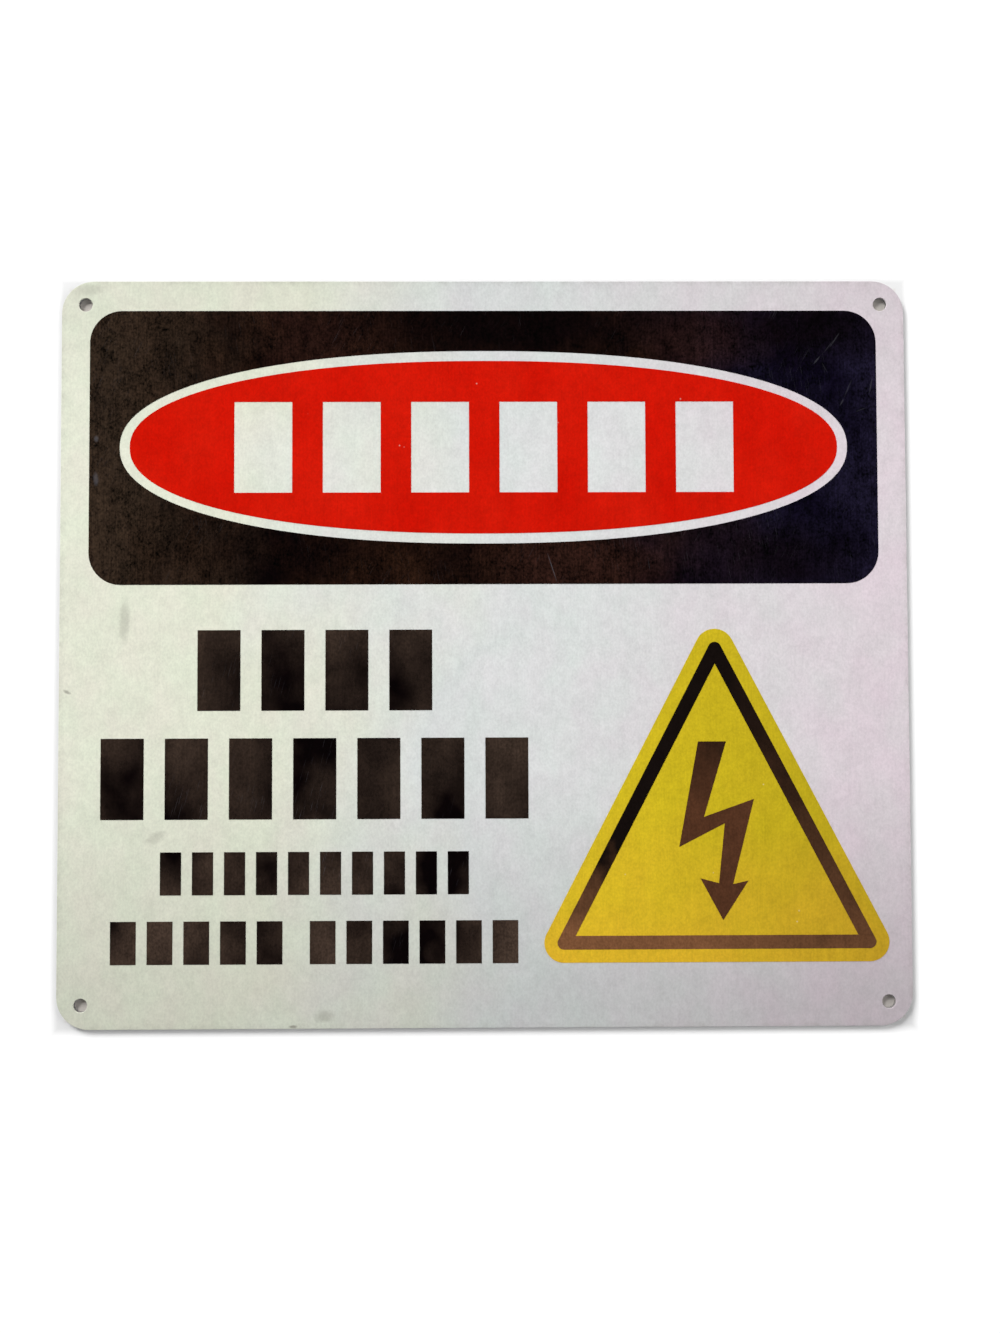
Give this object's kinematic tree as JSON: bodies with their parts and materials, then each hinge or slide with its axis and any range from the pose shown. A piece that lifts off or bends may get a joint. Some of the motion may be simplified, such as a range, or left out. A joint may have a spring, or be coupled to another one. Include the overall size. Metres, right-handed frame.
{
  "type": "high voltage warning sign",
  "caption": "Flat rectangular warning sign of aluminium sheet with corner fixing holes, a black header with a red oval, and a yellow hazard triangle with a lightning bolt.",
  "frame": {"origin": "centre of the back face, on the surface that the sign lies on", "axes": "+X to the sign's right as it is read, +Y to its top edge, +Z out of its printed face"},
  "size_m": [0.25, 0.22, 0.0013],
  "materials": {
    "aluminium": "mill finish, faint rolling lines",
    "white_film": "beaded retroreflective sheeting, semi-gloss",
    "black_ink": "gloss screen ink",
    "red_ink": "gloss transparent screen ink",
    "yellow_ink": "gloss screen ink"
  },
  "bodies": {
    "root": {"aluminium_plate": "aluminium", "face_film": "white_film", "header_panel": "black_ink", "signal_oval": "red_ink", "hazard_triangle": "yellow_ink", "triangle_outline": "black_ink", "bolt_symbol": "black_ink", "message_blocks": "black_ink"}
  },
  "joints": []
}
